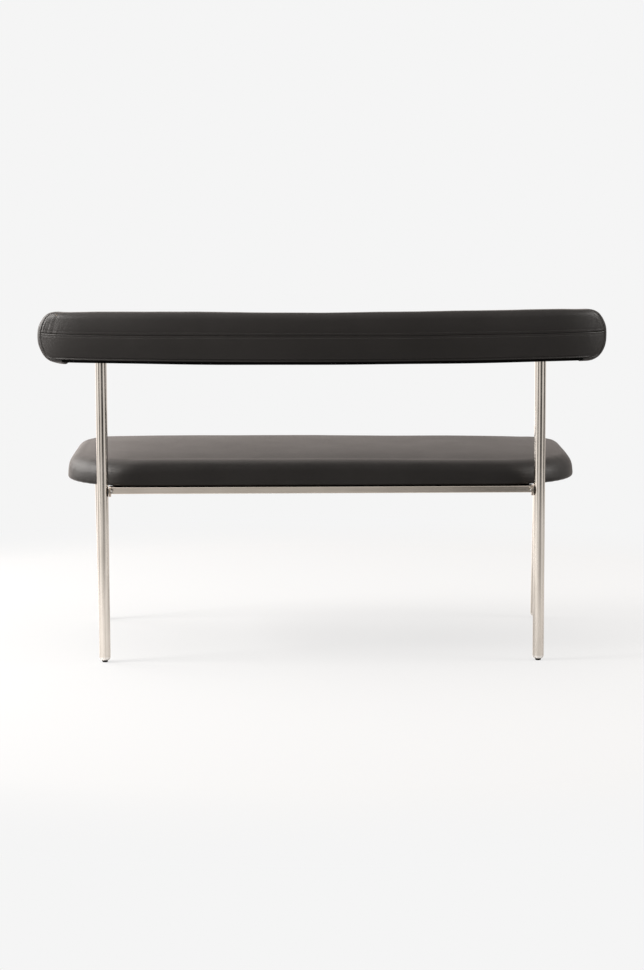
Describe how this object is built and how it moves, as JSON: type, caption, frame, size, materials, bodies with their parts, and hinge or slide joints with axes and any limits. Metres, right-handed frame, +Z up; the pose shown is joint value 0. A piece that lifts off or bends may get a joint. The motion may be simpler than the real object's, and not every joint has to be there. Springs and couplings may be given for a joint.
{
  "type": "two-seat sofa",
  "caption": "Light dining sofa: thin padded seat and curved padded backrest on round chrome tube legs, with a flat-tube underframe and black glides.",
  "frame": {"origin": "on the floor, under the middle of the box round the whole sofa", "axes": "+X along the seat towards the right of someone who looks at the sofa's front, +Y from the sofa's front to its back, +Z up"},
  "size_m": [1.262, 0.6213, 0.7865],
  "materials": {
    "chrome": "polished chrome plate on steel tube",
    "glide": "matt black nylon",
    "cap": "matt black plastic",
    "bolt": "dark zinc-plated steel",
    "zinc": "bright zinc-plated steel",
    "cover": "soft semi-matt dark charcoal leather-look cover",
    "underside": "black non-woven cloth",
    "foam": "open-cell foam",
    "plywood": "raw birch plywood"
  },
  "bodies": {
    "root": {"rear_leg_left": "chrome", "rear_leg_right": "chrome", "front_leg_left": "chrome", "front_leg_right": "chrome", "rear_leg_plug_left": "chrome", "rear_leg_plug_right": "chrome", "front_leg_plug_left": "chrome", "front_leg_plug_right": "chrome", "rear_glide_left": "glide", "rear_glide_right": "glide", "front_glide_left": "glide", "front_glide_right": "glide", "leg_top_caps": "cap", "leg_rivet_nuts": "zinc", "rear_rail": "chrome", "front_rail": "chrome", "side_rail_left": "chrome", "side_rail_right": "chrome", "centre_rail": "chrome", "rail_end_caps": "cap", "rail_ear_left": "chrome", "rail_ear_right": "chrome", "ear_saddles": "cap", "ear_bolts": "bolt", "front_leg_plate_left": "chrome", "front_leg_plate_right": "chrome", "underframe_bolts": "bolt", "leg_plate_bolts": "bolt", "bolt_washers": "zinc", "seat_board": "plywood", "board_tee_nuts": "zinc", "seat_foam": "foam", "seat_cover": "cover", "seat_dust_cover": "underside", "dust_cover_staples": "zinc", "backrest_board": "plywood", "backrest_bolts": "bolt", "backrest_front_foam": "foam", "backrest_back_foam": "foam", "backrest_front_cover": "cover", "backrest_upper_back_panel": "cover", "backrest_lower_back_panel": "cover", "backrest_closing_strip": "underside"}
  },
  "joints": []
}
